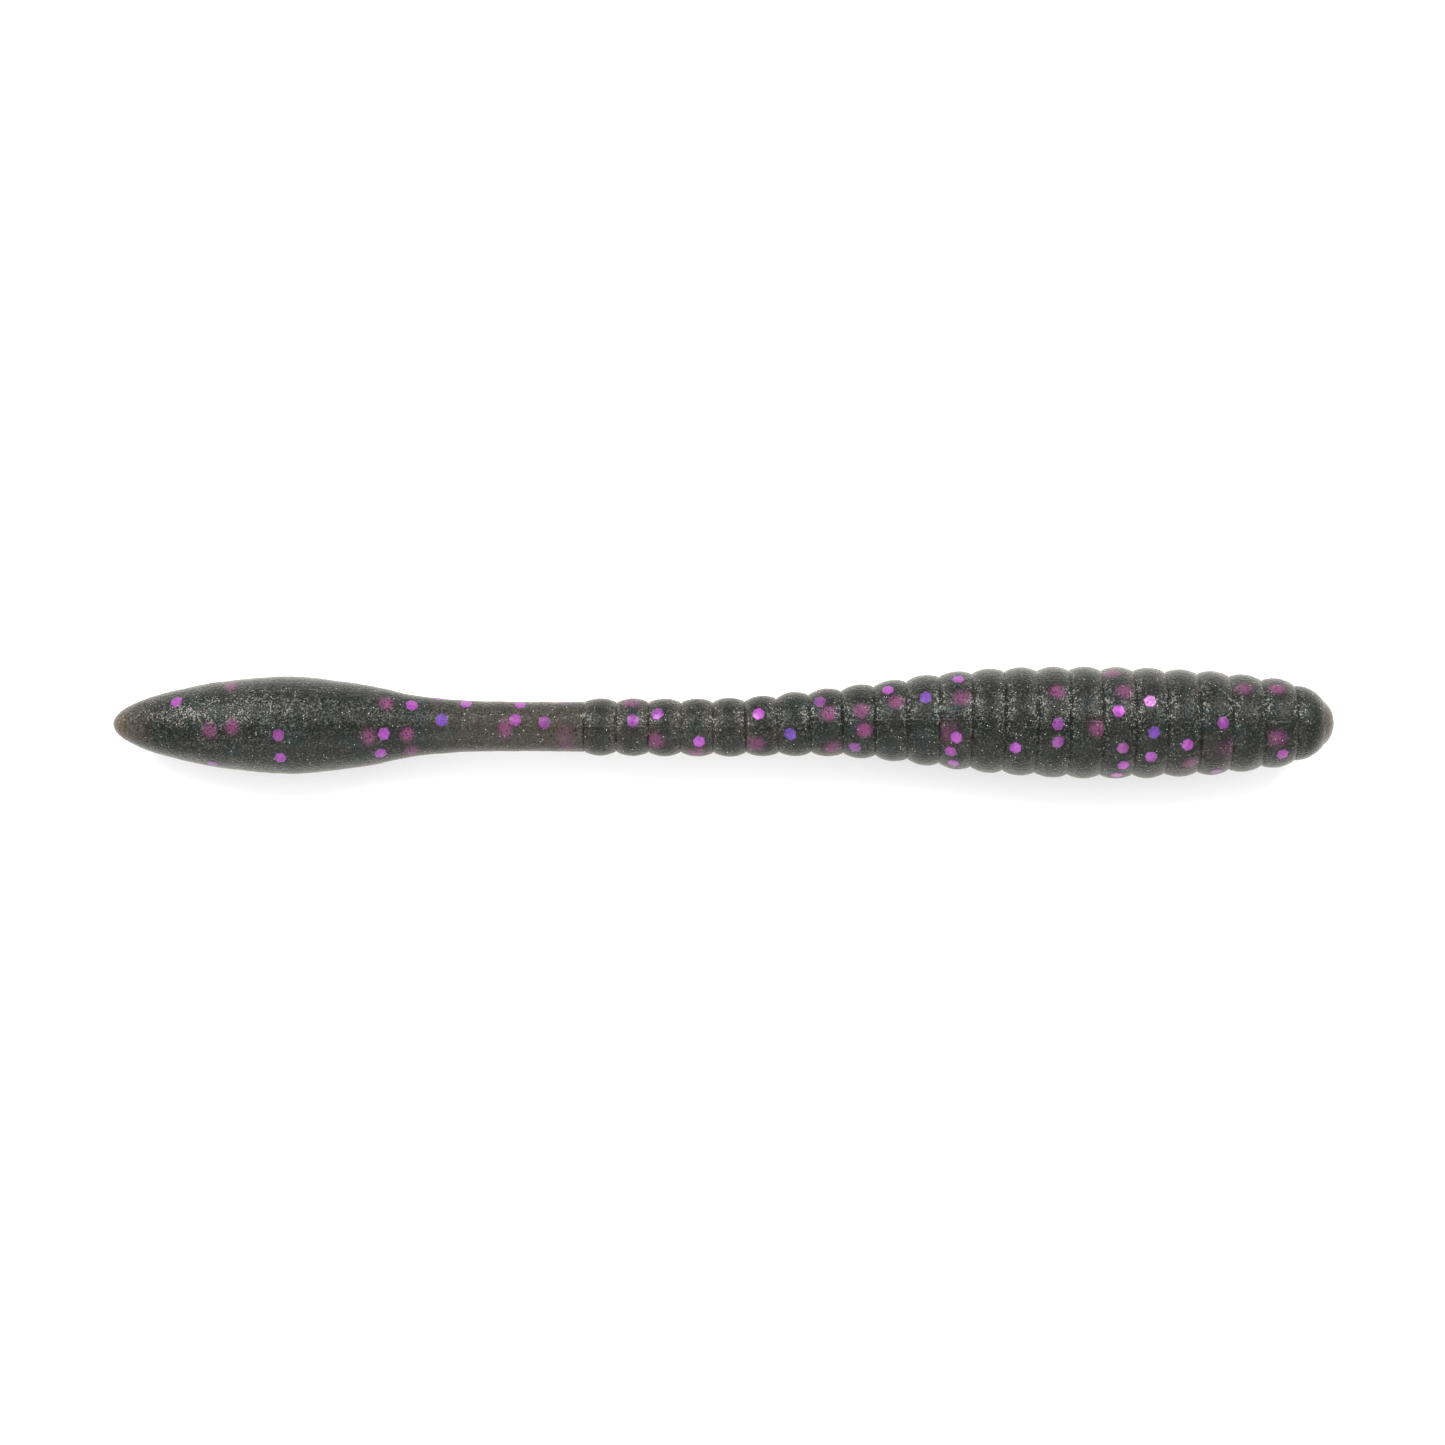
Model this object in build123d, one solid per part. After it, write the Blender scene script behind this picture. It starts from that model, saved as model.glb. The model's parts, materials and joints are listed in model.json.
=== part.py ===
from build123d import *
import math
import os
import random

# A ribbed soft plastic fishing worm, lying on a table with its nose to +X. Millimetres.
# The moulding is soft all the way through. It is cut at its ring grooves, and across its plain tail,
# into short rigid pieces that swing on each other, and foil flakes are cast into every piece.
# Stations are distances behind the tip of the nose, measured along the worm.

# Overall sizes
NOSE_LENGTH = 5.0
RING_COUNT = 22
RING_PITCH = 4.02
TAIL_LENGTH = 58.96  # the plain part, from the last ring groove to the tip of the tail
BODY_RADIUS = 6.53  # at the deepest grooves of the fat part
NECK_RADIUS = 3.1
BELLY_RADIUS = 6.08  # the bulb of the tail at its fattest

# Shape of the skin
RING_RISE = 0.5  # how far a ring stands above its grooves
NOSE_RIM_RADIUS = 4.36  # the swelling behind the dome of the nose
NOSE_DOME_RADIUS = 2.75
NOSE_DOME_LENGTH = 1.3
# Share of the ribbed length behind the nose, and how far the grooves there have grown from the
# neck's radius (0) to the body's (1)
BODY_SWELL = [
    (0.0, 0.43), (0.045, 0.665), (0.135, 0.885), (0.27, 1.0), (0.405, 0.91),
    (0.5, 0.67), (0.59, 0.33), (0.68, 0.15), (0.77, 0.03), (1.0, 0.0),
]
# Share of the tail's length, and how far its skin has grown from the neck's radius to the belly's
TAIL_SWELL = [
    (0.0, 0.0), (0.18, 0.0), (0.28, 0.075), (0.365, 0.255), (0.465, 0.665),
    (0.62, 1.0), (0.77, 0.765), (0.895, 0.245),
]
TAIL_END_SHARE, TAIL_END_RADIUS = 0.974, 2.0  # where the blunt end of the tail begins
# Share of the whole length, and how far the middle line sways to +Y there
SWAY = [
    (0.0, 0.0), (0.2, 0.06), (0.32, 0.37), (0.41, 0.1), (0.49, -0.5), (0.6, -0.48), (1.0, -0.12),
]

# How the rigid pieces swing on each other
RIDGE_GAP = 0.04  # between two pieces along their hinge line
SPARE_SLOPE = 0.5  # degrees that each end face falls away more than half the bend needs
STRETCH = 0.11  # share by which the skin is stretched at the end of a bend
NECK_PIECES = 3
NECK_PIECE_LENGTH = 6.5
TAIL_PIECE_LENGTHS = (10.2, 11.0)  # the tip of the tail has the rest

# Foil flakes
FLAKE_ACROSS_FLATS = 1.43
FLAKE_THICKNESS = 0.1
FLAKE_MARGIN = 0.06  # least plastic round a flake
FLAKE_TILT = 16  # degrees, most that a shallow flake leans from lying along the skin
FLAKE_SPACING = 1.66  # nearest that the middles of two flakes come
SHALLOW, MIDDLE, DEEP = 0.2, 0.9, 2.2  # how far below the skin the flakes lie
SCATTER_DENSITY = 0.047  # scattered flakes for each square millimetre of skin at the sides and below
# The flakes of the upper side: share of the piece behind its front, degrees round from the top
# towards +Y, and depth
UPPER_FLAKES = {
    "nose": [(0.25, 5, DEEP)],
    "ring_01": [(0.45, -45, SHALLOW), (0.65, 50, SHALLOW), (0.7, -20, MIDDLE)],
    "ring_02": [(0.65, 45, MIDDLE)],
    "ring_03": [(0.1, 0, SHALLOW), (0.3, -32, DEEP), (0.45, -70, SHALLOW)],
    "ring_04": [(0.1, -24, SHALLOW), (0.3, -50, MIDDLE), (0.6, -30, SHALLOW)],
    "ring_05": [(0.45, -10, SHALLOW), (0.6, -38, SHALLOW), (0.9, 23, SHALLOW)],
    "ring_06": [(0.1, -50, SHALLOW), (0.4, 34, MIDDLE), (0.4, -27, SHALLOW), (0.55, 12, SHALLOW),
                (0.5, -70, SHALLOW), (0.65, 64, MIDDLE)],
    "ring_07": [(0.2, -6, MIDDLE)],
    "ring_08": [(0.2, -21, SHALLOW), (0.35, 33, SHALLOW), (0.4, -2, SHALLOW)],
    "ring_09": [(0.9, -30, SHALLOW)],
    "ring_11": [(0.25, 56, SHALLOW), (0.35, 27, MIDDLE), (0.5, -21, SHALLOW), (0.7, -41, SHALLOW),
                (0.75, -62, SHALLOW), (0.85, -16, DEEP)],
    "ring_12": [(0.15, 30, SHALLOW)],
    "ring_13": [(0.3, 27, SHALLOW), (0.55, 50, SHALLOW)],
    "ring_14": [(0.1, 17, SHALLOW), (0.1, -14, SHALLOW), (0.5, 5, SHALLOW), (0.7, -46, SHALLOW)],
    "ring_15": [(0.25, -50, MIDDLE), (0.3, 15, SHALLOW), (0.65, -6, MIDDLE), (0.85, 40, SHALLOW)],
    "ring_16": [(0.85, -18, SHALLOW)],
    "ring_17": [(0.55, 24, SHALLOW), (0.65, -38, MIDDLE)],
    "ring_19": [(0.3, -30, SHALLOW), (0.5, -62, MIDDLE)],
    "ring_20": [(0.85, 28, SHALLOW), (0.85, -30, MIDDLE)],
    "ring_21": [(0.3, 13, SHALLOW), (0.55, 60, MIDDLE)],
    "neck_1": [(0.35, -45, DEEP), (0.8, 10, SHALLOW)],
    "neck_2": [(0.15, 62, SHALLOW), (0.3, 15, SHALLOW), (0.5, -6, MIDDLE), (0.7, 5, SHALLOW)],
    "neck_3": [(0.1, 60, SHALLOW), (0.75, 12, SHALLOW)],
    "tail_1": [(0.06, -16, SHALLOW), (0.1, 42, SHALLOW), (0.2, -56, MIDDLE), (0.3, 50, MIDDLE),
               (0.3, 2, SHALLOW), (0.5, -13, SHALLOW), (0.5, 38, SHALLOW), (0.55, -48, SHALLOW),
               (0.7, -17, MIDDLE)],
    "tail_2": [(0.7, -42, SHALLOW), (0.85, -12, SHALLOW)],
    "tail_tip": [(0.05, -2, MIDDLE), (0.17, 60, MIDDLE), (0.29, -7, MIDDLE), (0.3, -68, SHALLOW),
                 (0.37, -12, SHALLOW), (0.69, 40, SHALLOW)],
}

OVERRUN = 0.3  # a blank reaches this far past its end faces before they are cut
SEED = 11

RIBBED_LENGTH = RING_COUNT * RING_PITCH
NECK_STATION = NOSE_LENGTH + RIBBED_LENGTH
LENGTH = NECK_STATION + TAIL_LENGTH
BODY_STATION = NOSE_LENGTH + 0.27 * RIBBED_LENGTH
BELLY_STATION = NECK_STATION + 0.62 * TAIL_LENGTH


def smooth(points, share):
    """Height of the smooth curve through the points: a cubic piece between each two of them, whose
    slope at a point is that of the line between its neighbours."""
    last = len(points) - 1
    k = max(i for i in range(last) if i == 0 or points[i][0] <= share)
    slopes = []
    for i in (k, k + 1):
        before, after = points[max(i - 1, 0)], points[min(i + 1, last)]
        slopes.append((after[1] - before[1]) / (after[0] - before[0]))
    (x0, y0), (x1, y1) = points[k], points[k + 1]
    run = x1 - x0
    t = (share - x0) / run
    return (
        y0 * (2 * t**3 - 3 * t**2 + 1) + y1 * (3 * t**2 - 2 * t**3)
        + run * (slopes[0] * (t**3 - 2 * t**2 + t) + slopes[1] * (t**3 - t**2))
    )


def groove_radius(station):
    swell = smooth(BODY_SWELL, (station - NOSE_LENGTH) / RIBBED_LENGTH)
    return NECK_RADIUS + (BODY_RADIUS - NECK_RADIUS) * swell


def middle_line(station):
    """A point of the worm's middle line. It falls evenly, so that body and belly both lie on the table."""
    body_height = BODY_RADIUS + RING_RISE
    fall = (body_height - BELLY_RADIUS) / (BELLY_STATION - BODY_STATION)
    height = body_height - fall * (station - BODY_STATION)
    return Vector(-station, smooth(SWAY, station / LENGTH), height)


def cross_plane(station):
    """The plane of a station: its X axis runs towards the nose along the worm, and its Z axis is up."""
    ahead = (middle_line(station - 0.5) - middle_line(station + 0.5)).normalized()
    return Plane(origin=middle_line(station), x_dir=ahead, z_dir=ahead.cross(Vector(0, 1, 0)))


def turned(outline):
    """The solid that an open outline from axis to axis sweeps about the X axis."""
    return revolve(make_face(outline + Line(outline @ 1, outline @ 0)), Axis.X)


def ring_blank(front_station):
    """A ring: an arc from groove to groove, turned about the worm's middle line."""
    front, rear = groove_radius(front_station), groove_radius(front_station + RING_PITCH)
    half = RING_PITCH / 2
    crown = (front + rear) / 2 + RING_RISE
    outline = (
        Polyline((half + OVERRUN, 0), (half + OVERRUN, front), (half, front))
        + ThreePointArc((half, front), (0, crown), (-half, rear))
        + Polyline((-half, rear), (-half - OVERRUN, rear), (-half - OVERRUN, 0))
    )
    return cross_plane(front_station + half).location * turned(outline)


def nose_blank():
    """The nose: a round dome, and the half ring behind it down to the first groove."""
    groove = groove_radius(NOSE_LENGTH)
    middle = NOSE_LENGTH / 2
    dome_end = middle - NOSE_DOME_LENGTH
    rear = -middle
    outline = (
        ThreePointArc((middle, 0), (middle - 0.36, NOSE_DOME_RADIUS * 0.62), (dome_end, NOSE_DOME_RADIUS))
        + ThreePointArc((dome_end, NOSE_DOME_RADIUS), (dome_end - 1.9, NOSE_RIM_RADIUS), (rear, groove - 0.12))
        + Polyline((rear, groove - 0.12), (rear - OVERRUN, groove - 0.12), (rear - OVERRUN, 0))
    )
    return cross_plane(middle).location * turned(outline)


def tail_radius(station):
    share = (station - NECK_STATION) / TAIL_LENGTH
    return NECK_RADIUS + (BELLY_RADIUS - NECK_RADIUS) * smooth(TAIL_SWELL + [(1.0, -0.9)], share)


def tail_blank():
    """The plain neck and tail in one: a smooth curve through the swell's points and round the blunt end."""
    middle = NECK_STATION + TAIL_LENGTH / 2
    points = [(middle - NECK_STATION + OVERRUN, NECK_RADIUS)]
    for share, swell in TAIL_SWELL:
        station = NECK_STATION + share * TAIL_LENGTH
        points.append((middle - station, NECK_RADIUS + (BELLY_RADIUS - NECK_RADIUS) * swell))
    end_station = NECK_STATION + TAIL_END_SHARE * TAIL_LENGTH
    points += [(middle - end_station, TAIL_END_RADIUS), (middle - LENGTH, 0)]
    side = Spline(*points, tangents=[(-1, 0), (0, -1)])
    front = Line((points[0][0], 0), points[0])
    return cross_plane(middle).location * turned(front + side)


def end_cutter(joint, side):
    """What a piece loses at a joint: all past a roof of two planes that meet along the hinge line.
    Side is 1 for the piece towards the nose and -1 for the piece towards the tail."""
    reach = 2 * max(BODY_RADIUS, BELLY_RADIUS)
    ridge = side * RIDGE_GAP / 2
    eaves = ridge + side * reach * roof_slope(joint)
    far = -side * LENGTH
    roof = Polyline((ridge, 0), (eaves, reach), (far, reach), (far, -reach), (eaves, -reach), close=True)
    cutter = extrude(make_face(roof), amount=reach, both=True)
    turn = Rot(0, 0, 0) if joint["bends"] == "sideways" else Rot(90, 0, 0)
    return joint["plane"].location * turn * cutter


def roof_slope(joint):
    """How far an end face falls away for each millimetre out from the hinge line."""
    return math.tan(math.radians(joint["limit"] / 2 + SPARE_SLOPE))


def flake(plane):
    """A six-sided chip of foil, lying in the plane."""
    chip = RegularPolygon(FLAKE_ACROSS_FLATS / 2, 6, major_radius=False)
    return plane.location * extrude(chip, amount=FLAKE_THICKNESS / 2, both=True)


# The pieces from nose to tail: name, front station, rear station
pieces = [("nose", 0.0, NOSE_LENGTH)]
for number in range(RING_COUNT):
    front = NOSE_LENGTH + number * RING_PITCH
    pieces.append((f"ring_{number + 1:02d}", front, front + RING_PITCH))
front = NECK_STATION
tail_lengths = [NECK_PIECE_LENGTH] * NECK_PIECES + list(TAIL_PIECE_LENGTHS)
for number, piece_length in enumerate(tail_lengths):
    name = f"neck_{number + 1}" if number < NECK_PIECES else f"tail_{number + 1 - NECK_PIECES}"
    pieces.append((name, front, front + piece_length))
    front += piece_length
pieces.append(("tail_tip", front, LENGTH))


def skin_radius(station):
    """Radius of the skin at a station, used to place the flakes."""
    if station < NOSE_LENGTH:
        return NOSE_RIM_RADIUS * math.sqrt(max(0.0, 1 - (1 - station / NOSE_LENGTH) ** 2))
    if station > NECK_STATION:
        return tail_radius(station)
    along = (station - NOSE_LENGTH) % RING_PITCH
    front_station = station - along
    mean = (groove_radius(front_station) + groove_radius(front_station + RING_PITCH)) / 2
    return mean + RING_RISE * (1 - (2 * along / RING_PITCH - 1) ** 2)


# The joints, from nose to tail: every other one bends sideways, and those between bend up and down
joints = []
for number in range(1, len(pieces)):
    (parent, parent_front, station), (child, _, child_rear) = pieces[number - 1], pieces[number]
    plane = cross_plane(station)
    bends = "sideways" if number % 2 else "up_down"
    radius = groove_radius(station) if station <= NECK_STATION else tail_radius(station)
    spacing = (child_rear - parent_front) / 2
    joints.append({
        "name": f"bend_{number:02d}_{bends}",
        "parent": parent,
        "child": child,
        "plane": plane,
        "bends": bends,
        "axis": plane.z_dir if bends == "sideways" else plane.y_dir,
        "limit": math.floor(math.degrees(2 * STRETCH * spacing / radius)),
    })


def whole_piece(number):
    """A piece of the moulding: its blank, cut at its joints. The flakes lie inside it, with no pockets."""
    name, front_station, _ = pieces[number]
    if name == "nose":
        solid = nose_blank()
    elif name.startswith("ring"):
        solid = ring_blank(front_station)
    else:
        solid = plain_tail
    for joint, side in ends_of(number):
        solid -= end_cutter(joint, side)
    return solid


def flake_plane(piece, share, degrees_round, depth, tilt):
    """The plane of a flake: its Z axis points out of the skin, but for the tilt about two axes."""
    _, front_station, rear_station = piece
    station = front_station + share * (rear_station - front_station)
    radius = max(skin_radius(station) - depth, 0.0)
    turn = Rot(-degrees_round, 0, 0) * Pos(0, 0, radius) * Rot(tilt[0], tilt[1], tilt[2])
    return Plane(cross_plane(station).location * turn)


def fits(number, plane):
    """Whether a flake in the plane lies inside the piece of that number, with plastic all round it."""
    _, front_station, rear_station = pieces[number]
    middle = (front_station + rear_station) / 2
    reach = FLAKE_ACROSS_FLATS / math.sqrt(3)
    for turn in range(0, 360, 60):
        corner = Vector(reach * math.cos(math.radians(turn)), reach * math.sin(math.radians(turn)), 0)
        place = plane.from_local_coords(corner)
        local = cross_plane(middle).to_local_coords(place)
        cover = skin_radius(middle - local.X) - math.hypot(local.Y, local.Z)
        if cover < FLAKE_THICKNESS / 2 + FLAKE_MARGIN:
            return False
        for joint, side in ends_of(number):
            local = joint["plane"].to_local_coords(place)
            lateral = local.Y if joint["bends"] == "sideways" else local.Z
            cover = side * local.X - RIDGE_GAP / 2 - abs(lateral) * roof_slope(joint)
            if cover < FLAKE_THICKNESS / 2 + FLAKE_MARGIN:
                return False
    return True


def ends_of(number):
    """The joints of a piece, each with the side of the joint that the piece is on."""
    front = [(joints[number - 1], -1)] if number > 0 else []
    rear = [(joints[number], 1)] if number < len(joints) else []
    return front + rear


def settled(number, share, degrees_round, depth, tilt):
    """The plane of a flake, moved towards the middle of its piece until it lies inside, then sunk."""
    for sinking in range(8):
        for moving in range(5):
            near_middle = 0.5 + (share - 0.5) * (1 - moving / 5)
            sunk = depth + 0.05 * sinking
            plane = flake_plane(pieces[number], near_middle, degrees_round, sunk, tilt)
            if fits(number, plane):
                return plane
    return None


def flakes_in(number):
    """The planes of a piece's flakes: those of the upper side, then scattered ones below and inside."""
    name, front_station, rear_station = pieces[number]
    draw = random.Random(SEED + number)
    wanted = list(UPPER_FLAKES.get(name, []))
    skin = (rear_station - front_station) * skin_radius((front_station + rear_station) / 2) * math.pi
    for _ in range(max(2, round(SCATTER_DENSITY * skin))):
        depth = draw.choice((SHALLOW, SHALLOW, MIDDLE))
        wanted.append((draw.uniform(0.1, 0.9), draw.uniform(80, 280), depth))
    planes = []
    for share, degrees_round, depth in wanted:
        tilt = [draw.uniform(-FLAKE_TILT, FLAKE_TILT) for _ in range(2)] + [draw.uniform(0, 60)]
        plane = settled(number, share, degrees_round, depth, tilt)
        if plane and all((plane.origin - other.origin).length > FLAKE_SPACING for other in planes):
            planes.append(plane)
    return planes


plain_tail = tail_blank()
nodes = {}
for number, (name, _, _) in enumerate(pieces):
    nodes[name] = whole_piece(number)
    nodes[f"flakes_{name}"] = Compound([flake(plane) for plane in flakes_in(number)])

# The origin is the middle of the underside of the whole worm's box
box = Compound([nodes[name] for name, _, _ in pieces]).bounding_box()
to_origin = Pos(-box.center().X, -box.center().Y, -box.min.Z)
joint_places = [to_origin * Pos(*joint["plane"].origin) for joint in joints]

os.makedirs("parts", exist_ok=True)
for name, shape in nodes.items():
    export_step(to_origin * shape, f"parts/{name}.step")
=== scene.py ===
import json
import math

import bpy
import numpy as np
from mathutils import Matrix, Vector

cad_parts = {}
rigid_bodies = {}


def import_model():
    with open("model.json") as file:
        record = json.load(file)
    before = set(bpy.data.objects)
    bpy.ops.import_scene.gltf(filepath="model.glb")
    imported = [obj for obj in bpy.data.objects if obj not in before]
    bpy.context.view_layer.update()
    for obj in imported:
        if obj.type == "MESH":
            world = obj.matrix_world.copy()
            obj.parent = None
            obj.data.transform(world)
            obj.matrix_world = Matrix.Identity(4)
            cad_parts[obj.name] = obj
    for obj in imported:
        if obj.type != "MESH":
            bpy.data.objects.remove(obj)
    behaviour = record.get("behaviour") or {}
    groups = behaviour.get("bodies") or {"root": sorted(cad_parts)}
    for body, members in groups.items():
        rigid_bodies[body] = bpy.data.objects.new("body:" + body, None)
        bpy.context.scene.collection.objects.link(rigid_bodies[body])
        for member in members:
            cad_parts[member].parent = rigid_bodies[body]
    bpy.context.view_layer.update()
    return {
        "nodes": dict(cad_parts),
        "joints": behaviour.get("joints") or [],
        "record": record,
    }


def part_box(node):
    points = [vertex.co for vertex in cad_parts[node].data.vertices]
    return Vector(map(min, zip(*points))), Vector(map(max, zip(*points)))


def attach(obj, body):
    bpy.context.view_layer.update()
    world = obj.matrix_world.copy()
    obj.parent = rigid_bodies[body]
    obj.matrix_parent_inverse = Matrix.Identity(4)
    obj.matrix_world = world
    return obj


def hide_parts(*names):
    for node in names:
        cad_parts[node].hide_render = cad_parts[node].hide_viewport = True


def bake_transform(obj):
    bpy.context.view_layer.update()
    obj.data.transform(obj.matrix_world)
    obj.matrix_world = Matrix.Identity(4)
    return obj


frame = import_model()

bl_info = {
    "name": "Ribbed soft worm",
    "version": (1, 0, 0),
    "blender": (4, 5, 0),
    "location": "View3D > Sidebar > Worm",
    "description": "Makes the soft skin, the foil flakes and the studio of a ribbed plastic fishing worm",
    "category": "Object",
}

MM = 0.001
JOINTS = frame["joints"]
PIECES = [JOINTS[0]["parent"]] + [joint["child"] for joint in JOINTS]  # from nose to tail
RINGS = [name for name in PIECES if name.startswith("ring")]

SLOPE_STEP = 0.2 * MM  # the middle line's direction is taken over this far either way
SWELLING_BEHIND = 1.9 * MM  # from the end of the nose's dome to the top of its swelling
SWELLING_DROP = 0.12 * MM  # how far the nose's skin ends below its first groove's radius
DOME_TOP = (0.36 * MM, 0.62)  # a point of the dome: its station, and its share of the dome's radius
CORNER_WELD = 0.002 * MM  # a flake's corners nearer than this are one
GLOW_REACH = 2.5 * MM  # how far round a deep flake its glow is looked for, past its own depth
GLOW_TILT = 0.8 * MM  # how far off a deep flake's own plane its glow fades to a third
SOFT_EDGE = (0.05 * MM, 0.09)  # a glow's soft edge: its least width, and its growth with depth
PLASTIC_DIMMING = 2.5 * MM  # depth at which the plastic dims a shallow flake to a third
COLOUR_REACH = 9  # a coloured flake lies within this many degrees of its place in the lists below
RING_ROWS = 31
NOSE_ROWS = 40
TAIL_END_ROWS = 60
PLAIN_ROW = 0.25 * MM  # spacing of the rows on the plain neck and tail
SPECK_BLACK = (0.002, 0.003, 0.002)
# painted shade in the grooves' feet, and the dark parting lines
SHADE_AND_SEAM_BLACK = (0.003, 0.004, 0.003)
SOAKED_FOIL = (0.45, 0.45, 0.5)  # what the dark mottles of a flake multiply its colour by
FLOOR_HALF = 1.5
FLOOR_GREY = (0.92, 0.92, 0.92, 1.0)
KEY_PLACES = (("key_left", (-0.28, 0.3, 0.42)), ("key_right", (0.28, 0.3, 0.42)))
FILL_PLACE, FILL_SIZE = (0.0, -0.45, 0.35), 0.5
SENSOR_WIDTH = 36.0
EYE_LIFT = 7 * MM  # the view's width is measured at this height, about the worm's middle

# The tail's outline: share of its length, and how far its skin has grown from the neck's radius (0)
# to the belly's (1). The last point's radius is zero.
TAIL_SWELL = [
    (0.0, 0.0), (0.18, 0.0), (0.28, 0.075), (0.365, 0.255), (0.465, 0.665),
    (0.62, 1.0), (0.77, 0.765), (0.895, 0.245), (0.974, -0.369), (1.0, -1.04),
]
# Flakes whose foil isn't magenta, or that carry a painted glint: the piece that each lies in, and its
# degrees round from the top
VIOLET_FLAKES = [("ring_05", -10), ("ring_12", 30), ("ring_13", 27), ("ring_16", -18), ("neck_3", 12)]
# the pink flake is a painted glint of light on its foil, not a foil colour
GLINTING_FLAKES = [("ring_05", 23)]
# How bright a flake's foil is at each row of its points, from its middle over its edge to its underside
FOIL_SHADES = np.array([1.0, 0.95, 0.8, 0.55, 0.45, 0.45, 0.45])


# ---------------------------------------------------------------- the worm's own coordinates

def smooth(knots, values, at):
    """Cubic curve through values at knots, whose slope at a knot is that of the line between its
    neighbours. Values may have several columns."""
    knots, values, at = np.asarray(knots, float), np.asarray(values, float), np.asarray(at, float)
    columns = values.reshape(len(knots), -1)
    slopes = np.empty_like(columns)
    slopes[1:-1] = (columns[2:] - columns[:-2]) / (knots[2:] - knots[:-2])[:, None]
    slopes[0] = (columns[1] - columns[0]) / (knots[1] - knots[0])
    slopes[-1] = (columns[-1] - columns[-2]) / (knots[-1] - knots[-2])
    k = np.clip(np.searchsorted(knots, at, side="right") - 1, 0, len(knots) - 2)
    run = (knots[k + 1] - knots[k])[..., None]
    t = (at - knots[k])[..., None] / run
    found = (
        columns[k] * (2 * t**3 - 3 * t**2 + 1) + columns[k + 1] * (3 * t**2 - 2 * t**3)
        + run * (slopes[k] * (t**3 - 2 * t**2 + t) + slopes[k + 1] * (t**3 - t**2))
    )
    return found.reshape(at.shape + values.shape[1:])


def node_radius(node):
    """Half the width of a CAD node across the worm."""
    low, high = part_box(node)
    return max(high[1] - low[1], high[2] - low[2]) / 2


def read_middle_line():
    """The points of the middle line from the tip of the nose through the joints to the tip of the
    tail, and their stations: distances along the line from the tip of the nose."""
    points = [frame["record"]["mounts"][0]["pos_m"]] + [joint["pos_m"] for joint in JOINTS]
    before, last = np.array(points[-2]), np.array(points[-1])
    tail_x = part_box(PIECES[-1])[0][0]
    points.append(last + (last - before) * (tail_x - last[0]) / (last[0] - before[0]))
    points = np.array([list(point) for point in points])
    steps = np.linalg.norm(np.diff(points, axis=0), axis=1)
    return points, np.concatenate([[0.0], np.cumsum(steps)])


LINE_POINTS, LINE_STATIONS = read_middle_line()
NOSE_END = LINE_STATIONS[1]
NECK_START = LINE_STATIONS[1 + len(RINGS)]
LENGTH = LINE_STATIONS[-1]
TAIL_LENGTH = LENGTH - NECK_START
CROWN_RADII = np.array([node_radius(name) for name in RINGS])
NECK_RADIUS, BELLY_RADIUS = node_radius("neck_1"), node_radius("tail_2")


def cross_frame(stations):
    """Middle points at the stations, with the directions to the nose, to +Y and up there."""
    middles = smooth(LINE_STATIONS, LINE_POINTS, stations)
    ahead = smooth(LINE_STATIONS, LINE_POINTS, stations - SLOPE_STEP)
    ahead = ahead - smooth(LINE_STATIONS, LINE_POINTS, stations + SLOPE_STEP)
    ahead /= np.linalg.norm(ahead, axis=-1, keepdims=True)
    up = np.cross(ahead, [0.0, 1.0, 0.0])
    up /= np.linalg.norm(up, axis=-1, keepdims=True)
    side = np.cross(up, ahead)
    return middles, ahead, side, up


def to_worm(points):
    """Station, turn round from the top towards +Y, and distance from the middle line, of points."""
    stations = np.interp(-points[:, 0], -LINE_POINTS[:, 0], LINE_STATIONS)
    middles, _, side, up = cross_frame(stations)
    away = points - middles
    across, rise = (away * side).sum(1), (away * up).sum(1)
    return stations, np.arctan2(across, rise), np.hypot(across, rise)


# ---------------------------------------------------------------- the shape of the skin

def groove_radii(rise):
    """Radii at the grooves, from the nose to the neck. A groove is as deep as its two rings' mean
    crown less the rise, and the first and last keep their rings' own slopes."""
    inner = (CROWN_RADII[:-1] + CROWN_RADII[1:]) / 2 - rise
    first = 2 * (CROWN_RADII[0] - rise) - inner[0]
    last = 2 * (CROWN_RADII[-1] - rise) - inner[-1]
    return np.concatenate([[first], inner, [last]])


def circle_height(first, middle, last, at):
    """Height over the axis of the circle through three points (along, height), at places along; 0
    beyond the circle's ends."""
    (ax, ay), (bx, by), (cx, cy) = first, middle, last
    twice = 2 * (ax * (by - cy) + bx * (cy - ay) + cx * (ay - by))
    a2, b2, c2 = ax**2 + ay**2, bx**2 + by**2, cx**2 + cy**2
    x = (a2 * (by - cy) + b2 * (cy - ay) + c2 * (ay - by)) / twice
    y = (a2 * (cx - bx) + b2 * (ax - cx) + c2 * (bx - ax)) / twice
    radius2 = (ax - x) ** 2 + (ay - y) ** 2
    beneath = radius2 - (at - x) ** 2
    return np.where(beneath > 0, y + np.sqrt(np.maximum(beneath, 0.0)), 0.0)


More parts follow.
